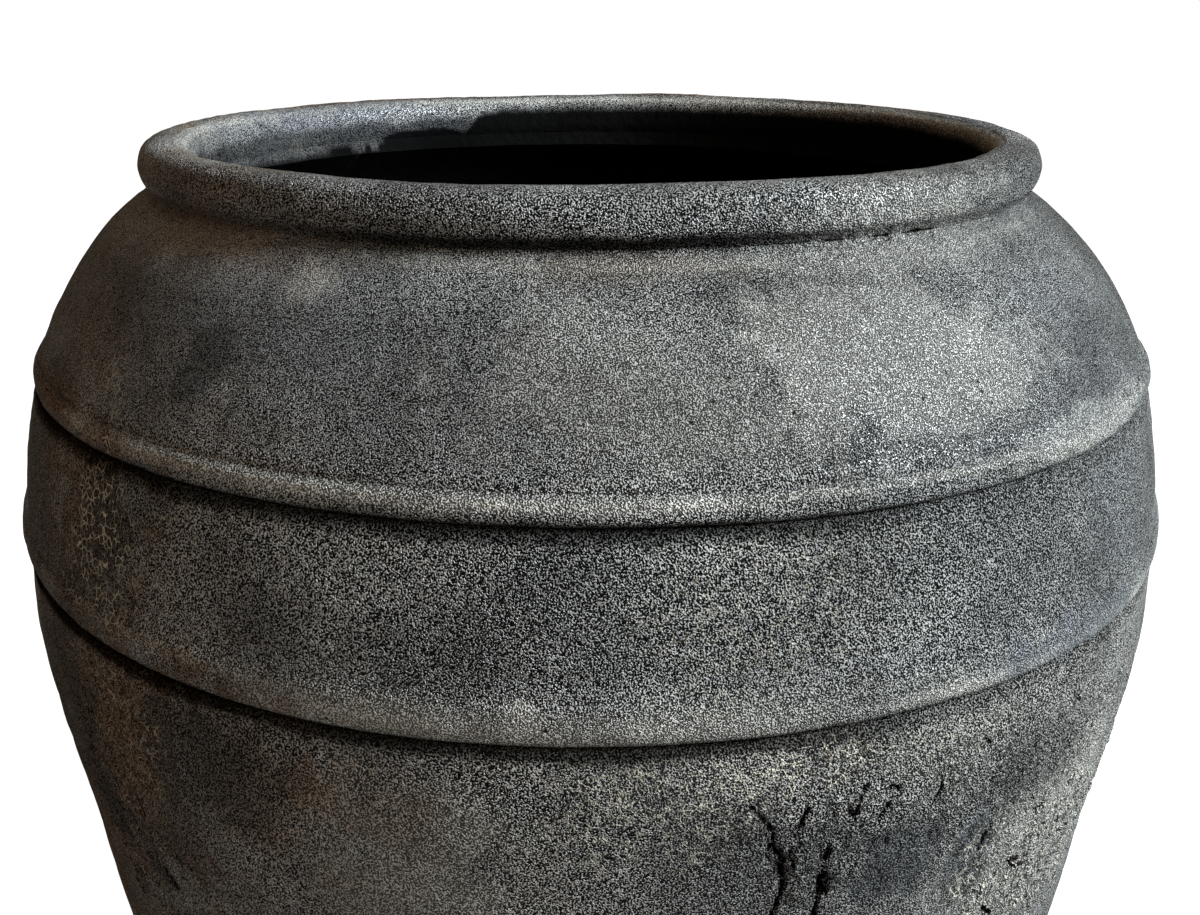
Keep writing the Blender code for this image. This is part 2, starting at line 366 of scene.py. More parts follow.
def turned(section, closed=True):
    """A closed bmesh from a section of (radius, height, face) points."""
    bm = bmesh.new()
    marks = [bm.verts.layers.float.new(name) for name in ("outer", "inner")]
    line = []
    for radius, height, face in section:
        vert = bm.verts.new((0.0, -radius, height))
        for mark, kind in zip(marks, (OUTER, INNER)):
            vert[mark] = float(face == kind)
        line.append(vert)
    edges = [bm.edges.new(pair) for pair in zip(line, line[1:])]
    if closed:
        edges.append(bm.edges.new((line[-1], line[0])))
    wedge = 2 * math.pi / WEDGES
    about = {"cent": (0, 0, 0), "axis": (0, 0, 1)}
    bmesh.ops.spin(bm, geom=line + edges, angle=wedge, steps=STEPS // WEDGES, **about)
    whole = bm.verts[:] + bm.edges[:] + bm.faces[:]
    rest = 2 * math.pi - wedge
    bmesh.ops.spin(bm, geom=whole, angle=rest, steps=WEDGES - 1, use_duplicate=True, **about)
    bmesh.ops.remove_doubles(bm, verts=bm.verts, dist=1e-5)
    bmesh.ops.recalc_face_normals(bm, faces=bm.faces)
    return bm


print(f"{STEPS} steps, {lower_crest * math.tau / STEPS * 1000:.1f} mm each at the widest")


# %% Refine a patch of a piece
def refine(bm, around, heights):
    """Halves the faces of the outer skin inside a patch: around and heights are (low, high)."""
    mark = bm.verts.layers.float["outer"]

    def inside(vert):
        angle = math.degrees(math.atan2(vert.co.x, -vert.co.y))
        low, high = heights
        return vert[mark] > 0.5 and around[0] < angle < around[1] and low < vert.co.z < high

    chosen = {v for v in bm.verts if inside(v)}
    edges = [e for e in bm.edges if e.verts[0] in chosen and e.verts[1] in chosen]
    bmesh.ops.subdivide_edges(bm, edges=edges, cuts=1, use_grid_fill=True)
    bmesh.ops.triangulate(bm, faces=[f for f in bm.faces if len(f.verts) > 4])


# %% [markdown]
# ## Noise for the potter's hand
#
# Handwork is uneven at every size. Two small functions give that unevenness to any point in
# space: smooth noise, for wobble and lumps, and a field of random cells, for clay that dries and
# breaks into plates. Both hash whole-number positions, so they give the same pot on each run,
# and both work in three dimensions, so they have no seam at the back.

# %% Smooth noise and cells
def hashed(x, y, z, seed):
    """A random number from 0 to 1 for whole numbers x, y and z."""
    h = x * 374761393 + y * 668265263 + z * 1442695041 + seed * 97463477
    h = (h ^ (h >> 13)) & 0xFFFFFFFF
    h = (h * 1274126177) & 0xFFFFFFFF
    return ((h ^ (h >> 16)) & 0xFFFFFF) / 0xFFFFFF


def noise(points, size, seed, octaves=1):
    """Smooth noise from about -1 to 1 whose lumps are about `size` metres across."""
    total, weight = np.zeros(len(points)), 1.0
    for octave in range(octaves):
        place = points.T / (size / 2**octave)
        base = np.floor(place)
        f = place - base
        f = f * f * f * (f * (f * 6 - 15) + 10)
        x, y, z = base.astype(np.int64)
        for i, j, k in np.ndindex(2, 2, 2):
            share = (f[0] if i else 1 - f[0]) * (f[1] if j else 1 - f[1]) * (f[2] if k else 1 - f[2])
            total += weight * share * (hashed(x + i, y + j, z + k, seed + octave) * 2 - 1)
        weight *= 0.5
    return total


def cells(points, size, seed):
    """Random cells: the distance to the nearest border, in metres, and each cell's own number."""
    place = points.T / size
    base = np.floor(place).astype(np.int64)
    nearest, second = np.full(len(points), 9.0), np.full(len(points), 9.0)
    own = np.zeros(len(points))
    for corner in np.ndindex(3, 3, 3):
        cell = base + np.array(corner)[:, None] - 1
        gap = np.sqrt(sum((place[k] - cell[k] - hashed(*cell, seed + 11 + k)) ** 2 for k in range(3)))
        closer = gap < nearest
        second = np.where(closer, nearest, np.minimum(second, gap))
        own = np.where(closer, hashed(*cell, seed + 51), own)
        nearest = np.where(closer, gap, nearest)
    return (second - nearest) * size / 2, own


def ramp(low, high, value):
    """0 below low, 1 above high, and a smooth step between."""
    t = np.clip((value - low) / (high - low), 0, 1)
    return t * t * (3 - 2 * t)


print("noise at one point", noise(np.array([[0.1, 0.2, 0.3]]), 0.05, 1).round(4))

# %% [markdown]
# ## Where the surface differs
#
# No two hand's breadths of the pot are alike: here the slip has crazed into little plates, there
# it has flaked, browned, been rubbed smooth or been smoked darker. Each such quality becomes one
# number per vertex, painted as soft blotches at places named by the angle round the pot (0 at the
# front, positive to the right) and the height. The materials read those numbers. Some of them also
# paint light: the brown paints the warm shade of the left side, the slate grey the blue reflection
# of the key light on the right, and one pale blotch the sheen of the right shoulder. Round the
# back, broad noise takes over, so that side is as varied as the front.

# %% A surface point's place on the pot
class Place:
    """The points of a mesh as angle, height and outline on the pot, in degrees and millimetres."""

    def __init__(self, co, inner):
        self.points = co
        self.radius = np.hypot(co[:, 0], co[:, 1])
        self.angle = np.degrees(np.arctan2(co[:, 0], -co[:, 1]))
        self.height = co[:, 2] / MM
        self.ragged = 0.42 * noise(co, 0.020, 3, 2) + 0.30 * noise(co, 0.005, 9, 2)
        self.back = ramp(62, 80, np.abs(self.angle)) * (1 - 0.9 * inner)

    def across(self, angle):
        """Millimetres round the pot from an angle."""
        turn = (self.angle - angle + 180) % 360 - 180
        return np.radians(turn) * self.radius / MM

    def blotch(self, angle, height, half_width, half_height, strength=1.0, soft=0.45):
        away = np.hypot(self.across(angle) / half_width, (self.height - height) / half_height)
        return strength * (1 - ramp(1 - soft, 1 + soft, away + self.ragged))

    def cleft(self, path, half_width):
        """1 along a path of (angle, height), 0.75 at half_width from it and 0 at four times that."""
        wander = 1.3 * noise(self.points, 0.009, 71, 2)
        best = np.zeros(len(self.points))
        for (a0, h0), (a1, h1) in zip(path, path[1:]):
            x, y = self.across(a0) + wander, self.height - h0
            dx, dy = math.radians(a1 - a0) * 295, h1 - h0
            t = np.clip((x * dx + y * dy) / (dx * dx + dy * dy), 0, 1)
            away = np.hypot(x - t * dx, y - t * dy) / half_width
            best = np.maximum(best, 1 - away / 4)
        return best


# %% The blotches of each quality: angle, height, half width, half height, strength
BLOTCHES = {
    "crazed": [
        (-42, 498, 24, 36, 1.0), (-44, 557, 9, 14, 0.6), (13, 500, 42, 30, 0.40), (14, 436, 34, 13, 1.0),
        (3, 424, 34, 24, 0.55), (-41, 402, 22, 34, 0.6), (46, 348, 62, 44, 0.8), (28, 432, 40, 12, 0.5),
        (-44, 440, 18, 10, 0.6), (8, 470, 20, 6, 0.4),
    ],
    "flaking": [
        (46, 338, 74, 44, 1.0), (19, 404, 42, 34, 0.8), (-44, 372, 34, 66, 0.9), (38, 405, 70, 34, 0.8),
        (56, 380, 30, 40, 0.6), (30, 617, 46, 7, 0.9),
    ],
    # Brown stains; on the left side they also paint that side's warm shade.
    "umber": [
        (-57, 500, 40, 70, 1.0), (-43, 612, 62, 8, 0.45), (-44, 410, 70, 70, 1.0), (-15, 420, 20, 24, 0.4),
        (-44, 500, 40, 40, 1.0), (-52, 575, 40, 26, 0.5), (-50, 630, 60, 12, 0.5), (-28, 420, 40, 34, 0.8),
        (-60, 330, 90, 70, 1.0), (4, 612, 40, 6, 0.3),
    ],
    # Rubbed smooth; on the right its blue-grey also paints the reflection of the cool key light.
    "slate": [
        (40, 460, 54, 9, 1.0), (24, 382, 20, 18, 1.0), (32, 370, 11, 26, 1.0), (50, 500, 30, 26, 0.4),
        (-30, 590, 60, 16, 0.4), (42, 545, 60, 6, 0.6), (-128, 630, 90, 16, 0.9), (48, 572, 70, 40, 0.3),
        (26, 572, 40, 26, 0.4),
    ],
    "smoked": [
        (-34, 575, 13, 15, 1.0), (-40, 584, 46, 18, 0.55), (-1, 500, 24, 22, 0.45), (-31, 420, 36, 24, 0.7),
        (-48, 355, 13, 15, 1.0), (-40, 335, 12, 8, 0.9), (-56, 400, 40, 80, 0.6), (-42, 500, 22, 30, 0.6),
        (32, 368, 14, 22, 1.0), (16, 433, 26, 12, 0.3), (4, 498, 70, 26, 0.42), (52, 495, 50, 34, 0.3),
        (12, 392, 56, 44, 0.7), (24, 382, 26, 22, 1.0), (30, 410, 60, 30, 0.4),
    ],
    # Pale dust and lime; the blotch at 27 degrees and 576 mm paints the sheen of the right shoulder.
    "chalky": [
        (-26, 603, 9, 5, 1.0), (-4.5, 467, 6, 5, 0.8), (46, 457, 12, 5, 0.8), (44, 348, 66, 46, 0.7),
        (10, 436, 46, 16, 0.12), (-41, 400, 20, 30, 0.4), (54, 410, 50, 40, 0.25), (30, 425, 50, 18, 0.10),
        (-161, 614, 3, 13, 0.9), (-158, 599, 3, 3, 1.0), (-118, 620, 24, 7, 0.5), (-136, 612, 6, 5, 0.6),
        (-165, 612, 8, 5, 0.35), (27, 576, 58, 24, 0.75), (52, 352, 40, 50, 0.7), (35, 618, 60, 14, 0.6),
        (-14, 400, 40, 34, 0.5), (45, 540, 60, 8, 0.8), (46, 425, 50, 10, 0.3), (4, 572, 60, 26, 0.3),
        (-43, 608, 50, 10, 0.5), (36, 628, 60, 12, 0.35),
    ],
}
BACK_SHARE = {"crazed": 0.7, "flaking": 0.4, "umber": 0.7, "slate": 0.5, "smoked": 0.7, "chalky": 0.5}
print({quality: len(places) for quality, places in BLOTCHES.items()})

# %% [markdown]
# Some marks follow the pot's own edges and not a place on it. The grooves under the bands and the
# rim are painted dark as shade, least where the key light falls. Edges are rubbed pale where hands
# and cloths reach them, and that pale is also a painted highlight on the bands' top edges, on the
# lower band's crest and on the rim's top at the left. Inside the mouth the slip ends in a line of
# drips, and below it the clay is painted near black, partly soot and partly the shade of the dark
# inside. Each list gives heights in millimetres, and where a mark doesn't go all the way round,
# the angles between which it runs.

# %% Painted shade in the grooves, worn edges with painted highlights, and soot and shade inside
# Grooves, painted dark as shade: height, half width.
GROOVES = [(upper_lip / MM - 1.4, 4.6), (lower_lip / MM - 1.6, 4.4), (neck_height / MM + 2.4, 4.2)]
# Worn edges, also painted highlights where they face the light: height, half width, first and last angle,
# strength.
WORN_AND_LIT_EDGES = [
    (upper_lip / MM + 8.8, 2.6, -58, 12, 1.0), (upper_lip / MM + 10.2, 1.3, 12, 60, 0.8),
    (lower_lip / MM + 15.0, 2.4, -54, -8, 0.6), (lower_lip / MM + 16.0, 2.0, -8, 60, 0.2),
    (lower_lip / MM + 8.0, 8.0, -28, 16, 0.9), (lower_lip / MM + 7.0, 4.0, 22, 60, 1.0),
    (neck_height / MM - 5.0, 2.4, -20, 60, 0.6),
]
# The slip's edge: angle, height.
SLIP_EDGE = [
    (-180, 633), (-163, 633), (-158, 629), (-155.5, 618), (-152, 622), (-142, 622), (-138.5, 617),
    (-137, 610), (-135.5, 615), (-133.5, 609), (-131, 616), (-122, 612), (-104, 610), (-90, 622),
    (-70, 632), (180, 633),
]


def groove_shade(place):
    """Painted shade in the grooves under the bands and under the rim, weaker where the key light falls."""
    value = np.zeros(len(place.points))
    for height, half in GROOVES:
        away = np.abs(place.height - height - 2.0 * place.ragged) / half
        value = np.maximum(value, 1 - ramp(0.25, 1.25, away))
    faint = ramp(10, 40, -place.angle) * ramp(600, 612, place.height)
    lit = ramp(8, 34, place.angle) * (1 - place.back)
    return value * (1 - 0.75 * faint) * (1 - 0.55 * lit)


def wear_and_highlight(place):
    """Edges rubbed pale by hands and cloths, partly painted highlights where they face the light: the bands'
    top edges, the lower band's crest, the lip of the mouth and the rim's top at the left.
    """
    inwards = (place.radius - MOUTH) / MM
    value = 0.7 * np.exp(-(((inwards - 3.4) / 1.6) ** 2)) * ramp(633, 637, place.height)
    flat = np.exp(-(((inwards - 10) / 7) ** 2)) * ramp(634, 638, place.height)
    value = np.maximum(value, 0.6 * flat * ramp(20, 60, -place.angle) * ramp(-170, -140, place.angle))
    for height, half, low, high, strength in WORN_AND_LIT_EDGES:
        part = ramp(low - 6, low + 6, place.angle) * (1 - ramp(high - 6, high + 6, place.angle))
        line = np.exp(-(((place.height - height - 0.8 * place.ragged) / half) ** 2))
        value = np.maximum(value, strength * part * line * (0.8 + 0.5 * place.ragged))
    return value


def soot(place):
    """Inside, the rim's slip ends in a dripping edge; below it, and lower down all round, the inside is
    painted near black, partly soot and partly the shade of the dark inside.
    """
    angles, heights = np.array(SLIP_EDGE, float).T
    edge = np.interp(place.angle, angles, heights)
    soft = np.interp(place.angle, (-165, -155, -100, -80), (4.0, 1.6, 1.6, 4.0))
    sooty = 1 - ramp(-1, 1, (place.height - edge + 1.5 * place.ragged) / soft)
    return np.maximum(sooty, 0.72 * (1 - ramp(624, 631, place.height + 3 * place.ragged)))


def painted(place, quality):
    """One quality over a whole piece: its blotches, and broad noise round the back."""
    value = np.zeros(len(place.points))
    for angle, height, wide, tall, strength in BLOTCHES[quality]:
        value = np.maximum(value, place.blotch(angle, height, wide, tall, strength))
    seed = 100 + 7 * sorted(BLOTCHES).index(quality)
    broad = ramp(0.15, 0.75, noise(place.points, 0.11, seed, 2) + 0.5 * place.ragged)
    return np.clip(value + place.back * BACK_SHARE[quality] * broad, 0, 1)


# %% [markdown]
# ## Handwork
#
# Two kinds of unevenness are laid on. The first moves the whole wall: the mouth isn't quite
# round and leans a little, and the bands rise and dip by a millimetre or two. It acts on every
# vertex alike, so joints stay closed. The second acts only on the skin: ridges left by the coils,
# lumps, lines left by the tool, plates of flaking slip, and a few deep clefts where the wall
# dried too fast.

# %% Wobble of the whole wall
def wobbled(co):
    """The points moved as the uneven wall moves them, by a millimetre or two."""
    turn = np.arctan2(co[:, 0], -co[:, 1])
    height = co[:, 2]
    free = ramp(0.0, 0.12, height)
    out = 0.5 * np.sin(2 * turn + 0.6) + 0.35 * np.sin(3 * turn + 2.1 + 4 * height)
    out += 0.25 * np.sin(5 * turn + 9 * height)
    rim = ramp(0.600, 0.630, height)
    rise = rim * (0.35 * np.sin(3 * turn + 0.4) + 0.25 * np.sin(7 * turn))
    near_upper = np.exp(-(((height - upper_lip) / 0.022) ** 2))
    near_lower = np.exp(-(((height - lower_lip) / 0.026) ** 2))
    rise += near_upper * (0.9 * np.sin(turn - 0.15) + 0.6 * np.sin(4 * turn + 2.0) - 0.3)
    rise += near_lower * (0.5 * np.sin(2 * turn + 1.0) + 0.4 * np.sin(5 * turn))
    moved = co.copy()
    rise += rim * 1.1 * np.sin(turn) - 0.55 * ramp(0.616, 0.634, height) * (1 + np.cos(turn))
    moved[:, 0] += free * out * MM * np.sin(turn) - 1.4 * MM * ramp(0.56, 0.63, height)
    moved[:, 1] -= free * out * MM * np.cos(turn)
    moved[:, 2] += free * rise * MM
    return moved


# %% Where the clefts and the tool's lines run
# Clefts: a path of angles and heights, half the width and the depth in millimetres.
CLEFTS = [
    ([(11.7, 424), (12.6, 417), (13.4, 408)], 0.7, 1.6),
    ([(13.4, 405), (14.3, 399), (14.2, 394)], 1.5, 2.2),
    ([(14.1, 394), (14.4, 384), (14.0, 372), (14.4, 352)], 0.8, 2.6),
    ([(15.7, 420), (15.3, 413)], 1.0, 1.8),
    ([(14.9, 401), (15.0, 394)], 0.6, 1.4),
    ([(17.9, 399), (17.7, 394)], 1.2, 2.2),
    ([(17.6, 390), (17.7, 387)], 1.0, 2.2),
    ([(17.6, 384), (17.9, 377)], 2.0, 4.4),
    ([(17.5, 376), (17.4, 366), (17.9, 354)], 0.9, 2.4),
    ([(20.4, 425), (20.0, 417), (19.7, 411)], 0.8, 1.8),
    ([(19.0, 418), (19.5, 412)], 0.6, 1.2),
    ([(22.6, 422), (23.4, 420)], 1.0, 1.6),
    ([(22.6, 415), (21.9, 408)], 0.7, 1.4),
    ([(27.2, 421), (27.4, 414), (27.0, 408)], 0.6, 1.4),
    ([(31.5, 433), (31.9, 427)], 0.7, 1.4),
    ([(34.0, 384), (33.2, 372)], 0.7, 1.4),
    ([(38.6, 353), (39.4, 348)], 2.2, 3.2),
    ([(39.8, 346), (41.4, 342)], 0.9, 1.8),
    ([(36.5, 330), (38.2, 322)], 1.2, 2.0),
    ([(-41.5, 378), (-41.0, 370)], 1.2, 2.0),
    ([(-40.5, 340), (-39.0, 333)], 1.6, 2.0),
]

# Tool lines: height, first and last angle, half width, and how far they stand out.
TOOL_LINES = [
    (547.5, -62, -48, 1.6, -0.7), (516, 34, 48, 1.8, -0.6), (498, -38, -22, 1.8, -0.45),
    (425, 24, 48, 1.8, 0.7), (550, 14, 48, 1.8, -0.5), (560, -10, 24, 2.4, 0.25),
    (594, -60, 60, 2.6, 0.25), (406, 50, 64, 1.8, -0.5),
]
print(len(CLEFTS), "clefts,", len(TOOL_LINES), "tool lines")


# %% Lumps, plates and clefts of the skin
COIL_PITCH = 17  # height of one coil in the wall, in millimetres
PLATE = 0.0085  # size of a plate of flaking slip, in metres
LEDGES = (388, 366)  # heights of two small ledges on the left and at the back


def skin_push(place, marks):
    """How far the outer skin stands out, in millimetres, at each point."""
    p, height = place.points, place.height
    coil = np.sin(2 * math.pi * height / COIL_PITCH + 2.5 * noise(p, 0.12, 21, 2))
    push = 0.12 * coil * (0.6 + 0.4 * noise(p, 0.05, 22))
    push += 0.38 * noise(p, 0.034, 31) + 0.22 * noise(p, 0.014, 32, 2)
    flaking = marks["flaking"] * (1 - 0.6 * ramp(612, 622, height))
    bent = p + 0.002 * np.stack([noise(p, 0.007, seed) for seed in (41, 42, 43)], 1)
    border, own = cells(bent, PLATE, 5)
    plates = 1.3 * (own - 0.5) - 0.9 * (1 - ramp(0.0, 0.0009, border))
    push += flaking * (plates + 0.55 * noise(p, 0.005, 45, 2))
    rough = ramp(0.25, 0.7, noise(p, 0.012, 47, 2))
    push -= 0.9 * flaking * rough
    for line_height, low, high, half, amount in TOOL_LINES:
        part = ramp(low - 4, low + 4, place.angle) * (1 - ramp(high - 4, high + 4, place.angle))
        push += amount * part * np.exp(-(((height - line_height - 0.6 * noise(p, 0.04, 63)) / half) ** 2))
    left = ramp(18, 40, -place.angle) + place.back
    for step_height in LEDGES:
        wavy = height - step_height - 1.2 * noise(p, 0.05, 61)
        push -= 0.7 * left * (1 - ramp(-1.0, 1.0, wavy)) * ramp(-14, -2, wavy)
    return push


def clefts(place):
    """How deep inside a cleft each point is, from 0 to 1, and how far it sinks in millimetres."""
    deep, depth = np.zeros(len(place.points)), np.zeros(len(place.points))
    for path, half_width, millimetres in CLEFTS:
        inside = place.cleft(path, half_width)
        deep = np.maximum(deep, inside)
        depth = np.maximum(depth, ramp(0.66, 0.9, inside) * millimetres - 0.5 * ramp(0.35, 0.6, inside))
    return deep, depth


# %% [markdown]
# ## Finishing a piece
#
# Every piece goes through the same steps: spin, refine where it is finely broken, paint the
# qualities, push the skin, wobble the wall, and smooth the shading except at true edges. The mesh
# stays where it was modelled, so its object sits at the origin. Then the piece rides on the pot's
# one body, stands in for its solid in the frame, and takes a material.

# %% Finish one piece
SHARP = math.radians(40)
# The middle of the rim's coil: its skin is pushed away from there, and a wall's along its slope.
roll_centre = (MOUTH + ROLL, pot_height - ROLL)
pieces = {}


def push_direction(place, on_rim):
    """The way the skin faces, as shares along the radius and upwards."""
    if on_rim:
        out = place.radius - roll_centre[0]
        up = place.points[:, 2] - roll_centre[1]
    else:
        out = np.ones(len(place.points))
        up = -wall_lean(place.points[:, 2])
    length = np.maximum(np.hypot(out, up), 1e-6)
    return out / length, up / length


def finished(name, bm, slot):
    """Turns a bmesh into a piece of the pot, with its qualities and its uneven skin."""
    mesh = bpy.data.meshes.new(name)
    bm.to_mesh(mesh)
    bm.free()
    count = len(mesh.vertices)
    co = np.empty(count * 3)
    mesh.vertices.foreach_get("co", co)
    co = co.reshape(-1, 3)
    outer, inner = np.empty(count), np.empty(count)
    mesh.attributes["outer"].data.foreach_get("value", outer)
    mesh.attributes["inner"].data.foreach_get("value", inner)

    place = Place(co, inner)
    marks = {quality: painted(place, quality) for quality in BLOTCHES}
    deep, depth = clefts(place)
    push = outer * (skin_push(place, marks) - depth) * ramp(8, 20, place.height)
    push += inner * (0.5 * noise(co, 0.030, 81, 2)) * ramp(floor_top / MM, 40, place.height)
    out, up = push_direction(place, name == "rim_coil")
    moved = co.copy()
    moved[:, 0] += push * MM * out * np.sin(np.radians(place.angle))
    moved[:, 1] -= push * MM * out * np.cos(np.radians(place.angle))
    moved[:, 2] += push * MM * up
    mesh.vertices.foreach_set("co", wobbled(moved).astype(np.float32).ravel())

    # Worn edges add their pale, partly a painted highlight on edges that face the light.
    marks["chalky"] = np.maximum(marks["chalky"], wear_and_highlight(place))
    marks["cleft"] = deep * outer
    # The grooves' colour is painted shade: dark where light doesn't reach under the bands and the rim.
    marks["groove_shade"] = groove_shade(place) * outer
    # Inside, below the slip's edge, the colour is painted near black: partly soot, partly painted shade.
    marks["soot"] = soot(place) * (1 - outer)
    for quality, value in marks.items():
        layer = mesh.attributes.new(quality, "FLOAT", "POINT")
        layer.data.foreach_set("value", value.astype(np.float32))
    mesh.attributes.remove(mesh.attributes["outer"])
    mesh.update()
    mesh.shade_smooth()
    mesh.set_sharp_from_angle(angle=SHARP)
    piece = bpy.data.objects.new(name + "_skin", mesh)
    bpy.context.scene.collection.objects.link(piece)
    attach(piece, "root")
    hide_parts(name)
    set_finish(piece, slot)
    pieces[name] = piece
    print(f"{name}: {count} points, {len(mesh.polygons)} faces")
    return piece


# %% Make the eleven pieces
belly = turned(belly_section())
refine(belly, (2, 62), (belly_start, lower_lip - 0.006))
body = turned(course_section(body_start, belly_start))
refine(body, (2, 62), (0.296, belly_start + 0.001))

finished("base_slab", turned(base_section(), closed=False), "smoked_clay")
finished("floor_coil", turned(floor_coil_section()), "smoked_clay")
finished("foot_course", turned(foot_section()), "worn_clay")
finished("lower_course", turned(course_section(lower_start, body_start, COARSE_ROW)), "worn_clay")
finished("body_course", body, "worn_clay")
finished("belly_course", belly, "worn_clay")
finished("collar_course", turned(collar_section()), "black_clay")
finished("shoulder_course", turned(shoulder_section()), "black_clay")
finished("rim_coil", turned(rim_section()), "rubbed_clay")
upper_band = band_section(upper_crest, UPPER_BULGE, upper_edge, upper_lip, upper_seat)
lower_band = band_section(lower_crest, LOWER_BULGE, lower_edge, lower_lip, lower_seat)
finished("upper_band", turned(upper_band), "rubbed_clay")
finished("lower_band", turned(lower_band), "rubbed_clay")

# %% [markdown]
# ## Colour, and one way to add a node
#
# Colours are written as sRGB hex, as on a paint chart, and turned to the linear numbers that the
# renderer wants in one place. Nodes are added by one small function, which takes the kind of
# node, what goes into its sockets, its options, and which output to hand back.

# %% Colour and node helpers
def srgb(code):
    """A linear RGBA colour from an sRGB hex code."""
    parts = [int(code[i:i + 2], 16) / 255 for i in (1, 3, 5)]
    return (*[p / 12.92 if p <= 0.04045 else ((p + 0.055) / 1.055) ** 2.4 for p in parts], 1.0)


def node(tree, kind, inputs=None, out=0, **options):
    """Adds one shader node. Each input is a value or another node's output; returns an output."""
    made = tree.nodes.new("ShaderNode" + kind)
    for name, value in options.items():
        setattr(made, name, value)
    for socket, value in (inputs or {}).items():
        if isinstance(value, bpy.types.NodeSocket):
            tree.links.new(value, made.inputs[socket])
        else:
            made.inputs[socket].default_value = value
    return made.outputs[out] if len(made.outputs) else made


# %% [markdown]
# ## The clay
#
# Black clay of this kind is an ordinary earthenware body, scraped while leather hard and fired in
# smoke. The scraper drags the sand, which leaves a pebbled skin with a pitch of a little over a
# millimetre: dusty pale tops, dark pits, and a satin glint on each bump. In patches the slip has
# crazed into plates about 4 mm across, outlined in pale lime, and lower down it flakes into a
# crust with dark crevices. These are real sizes, so the pattern coordinates are turned to
# millimetres once, and each texture's scale is one over its size. A noise's bumps lie about two
# sizes apart. The sand's own grains are too fine to show, so the pebbles stand for them.
#
# The patterns come first, gathered by name: the painted qualities, the grain with its pale tops,
# the lines of the crazing, small round pits, and the crevices and cracks.

# %% Patterns of the clay
SCRAP_MM = 2.4
BEND_MM = 3.0
SCALE_MM = 3.4
CRAZE_MM = 3.8
CLUMP_MM = 5.5
PIT_MM = 8.0
CLOUD_MM = 55.0
SMOOTH = {"interpolation_type": "SMOOTHSTEP"}
PAINTED = [*BLOTCHES, "cleft", "groove_shade", "soot", "inner"]


def clay_patterns(tree, grain_mm):
    """The fields that the finishes are mixed from, by name."""
    place = node(tree, "TexCoord", out="Object")
    mm = node(tree, "VectorMath", {0: place, 3: 1000.0}, operation="SCALE")
    field = {quality: node(tree, "Attribute", out="Fac", attribute_name=quality) for quality in PAINTED}
    noises = {"waves": (grain_mm, 0.0), "scraps": (SCRAP_MM, 2.0), "clumps": (CLUMP_MM, 3.0),
              "clouds": (CLOUD_MM, 5.0)}
    for name, (size, detail) in noises.items():
        field[name] = node(tree, "TexNoise", {"Vector": mm, "Scale": 1 / size, "Detail": detail}, out="Fac")
    grain = node(tree, "MapRange", {0: field["waves"], 1: 0.30, 2: 0.70})
    tops = node(tree, "Math", {0: field["clumps"], 1: 0.3, 2: grain}, operation="MULTIPLY_ADD")
    tops = node(tree, "MapRange", {0: tops, 1: 0.44, 2: 0.90})
    tops = node(tree, "Math", {0: tops, 1: 1.5}, operation="POWER")

    # Crazing: the borders of cells on a slightly bent grid, broken where the clumps are low.
    bend = node(tree, "TexNoise", {"Vector": mm, "Scale": 1 / BEND_MM, "Detail": 2.0}, out="Color")
    bent = node(tree, "VectorMath", {0: bend, 1: (1.8,) * 3, 2: mm}, operation="MULTIPLY_ADD")
    border = node(tree, "TexVoronoi", {"Vector": bent, "Scale": 1 / CRAZE_MM}, feature="DISTANCE_TO_EDGE")
    lines = node(tree, "MapRange", {0: border, 1: 0.080, 2: 0.02}, **SMOOTH)
    kept = node(tree, "MapRange", {0: field["clumps"], 1: 0.40, 2: 0.56}, **SMOOTH)
    specks = node(tree, "TexVoronoi", {"Vector": bent, "Scale": 1 / PIT_MM})
    pits = node(tree, "MapRange", {0: specks, 1: 0.13, 2: 0.06}, **SMOOTH)

    # Crust: where the slip flakes, dark crevices run between raised scraps.
    tilted = node(tree, "Mapping", {"Vector": bent, "Rotation": (0.0, 0.5, 0.0), "Scale": (1.0, 1.0, 0.6)})
    crust = node(tree, "TexVoronoi", {"Vector": tilted, "Scale": 1 / SCALE_MM}, feature="DISTANCE_TO_EDGE")
    crevice = node(tree, "MapRange", {0: crust, 1: 0.12, 2: 0.04}, **SMOOTH)
    flaked = node(tree, "Math", {0: field["flaking"], 1: field["slate"]}, operation="SUBTRACT",
                  use_clamp=True)
    for part in (kept, field["crazed"]):
        lines = node(tree, "Math", {0: lines, 1: part}, operation="MULTIPLY")
    for part in (kept, flaked):
        crevice = node(tree, "Math", {0: crevice, 1: part}, operation="MULTIPLY")
    crack = node(tree, "Math", {0: field["scraps"], 1: 1.6, 2: field["cleft"]}, operation="MULTIPLY_ADD")
    crack = node(tree, "MapRange", {0: crack, 1: 1.50, 2: 1.62}, **SMOOTH)
    field.update(grain=grain, tops=tops, lines=lines, pits=pits, flaked=flaked, crevice=crevice, crack=crack)
    return field


# %% [markdown]
# The colour is built the way it came about. The grain's dark pits and pale tops come first, then
# the clouds of the firing, then dust and worn edges with painted highlights, slate grey with a
# painted blue reflection on the right, brown stains with painted warm shade on the left, and smoke,
# then lime in the crazing, and last, as painted shade, whatever is so deep that no light gets out:
# pits, crevices, cracks, the grooves and the inside of the mouth, which is partly soot. Each is
# one layer over the rest.

# %% Colour of the clay
# How strongly each layer is laid on: slate with its painted blue reflection, brown with its painted warm
# shade, smoke, and the grooves' painted shade.
STAIN_AND_SHADE_SHARES = {"slate": 0.7, "umber": 0.9, "smoked": 0.75, "groove_shade": 0.85}
MIX = {"data_type": "RGBA", "out": 2}


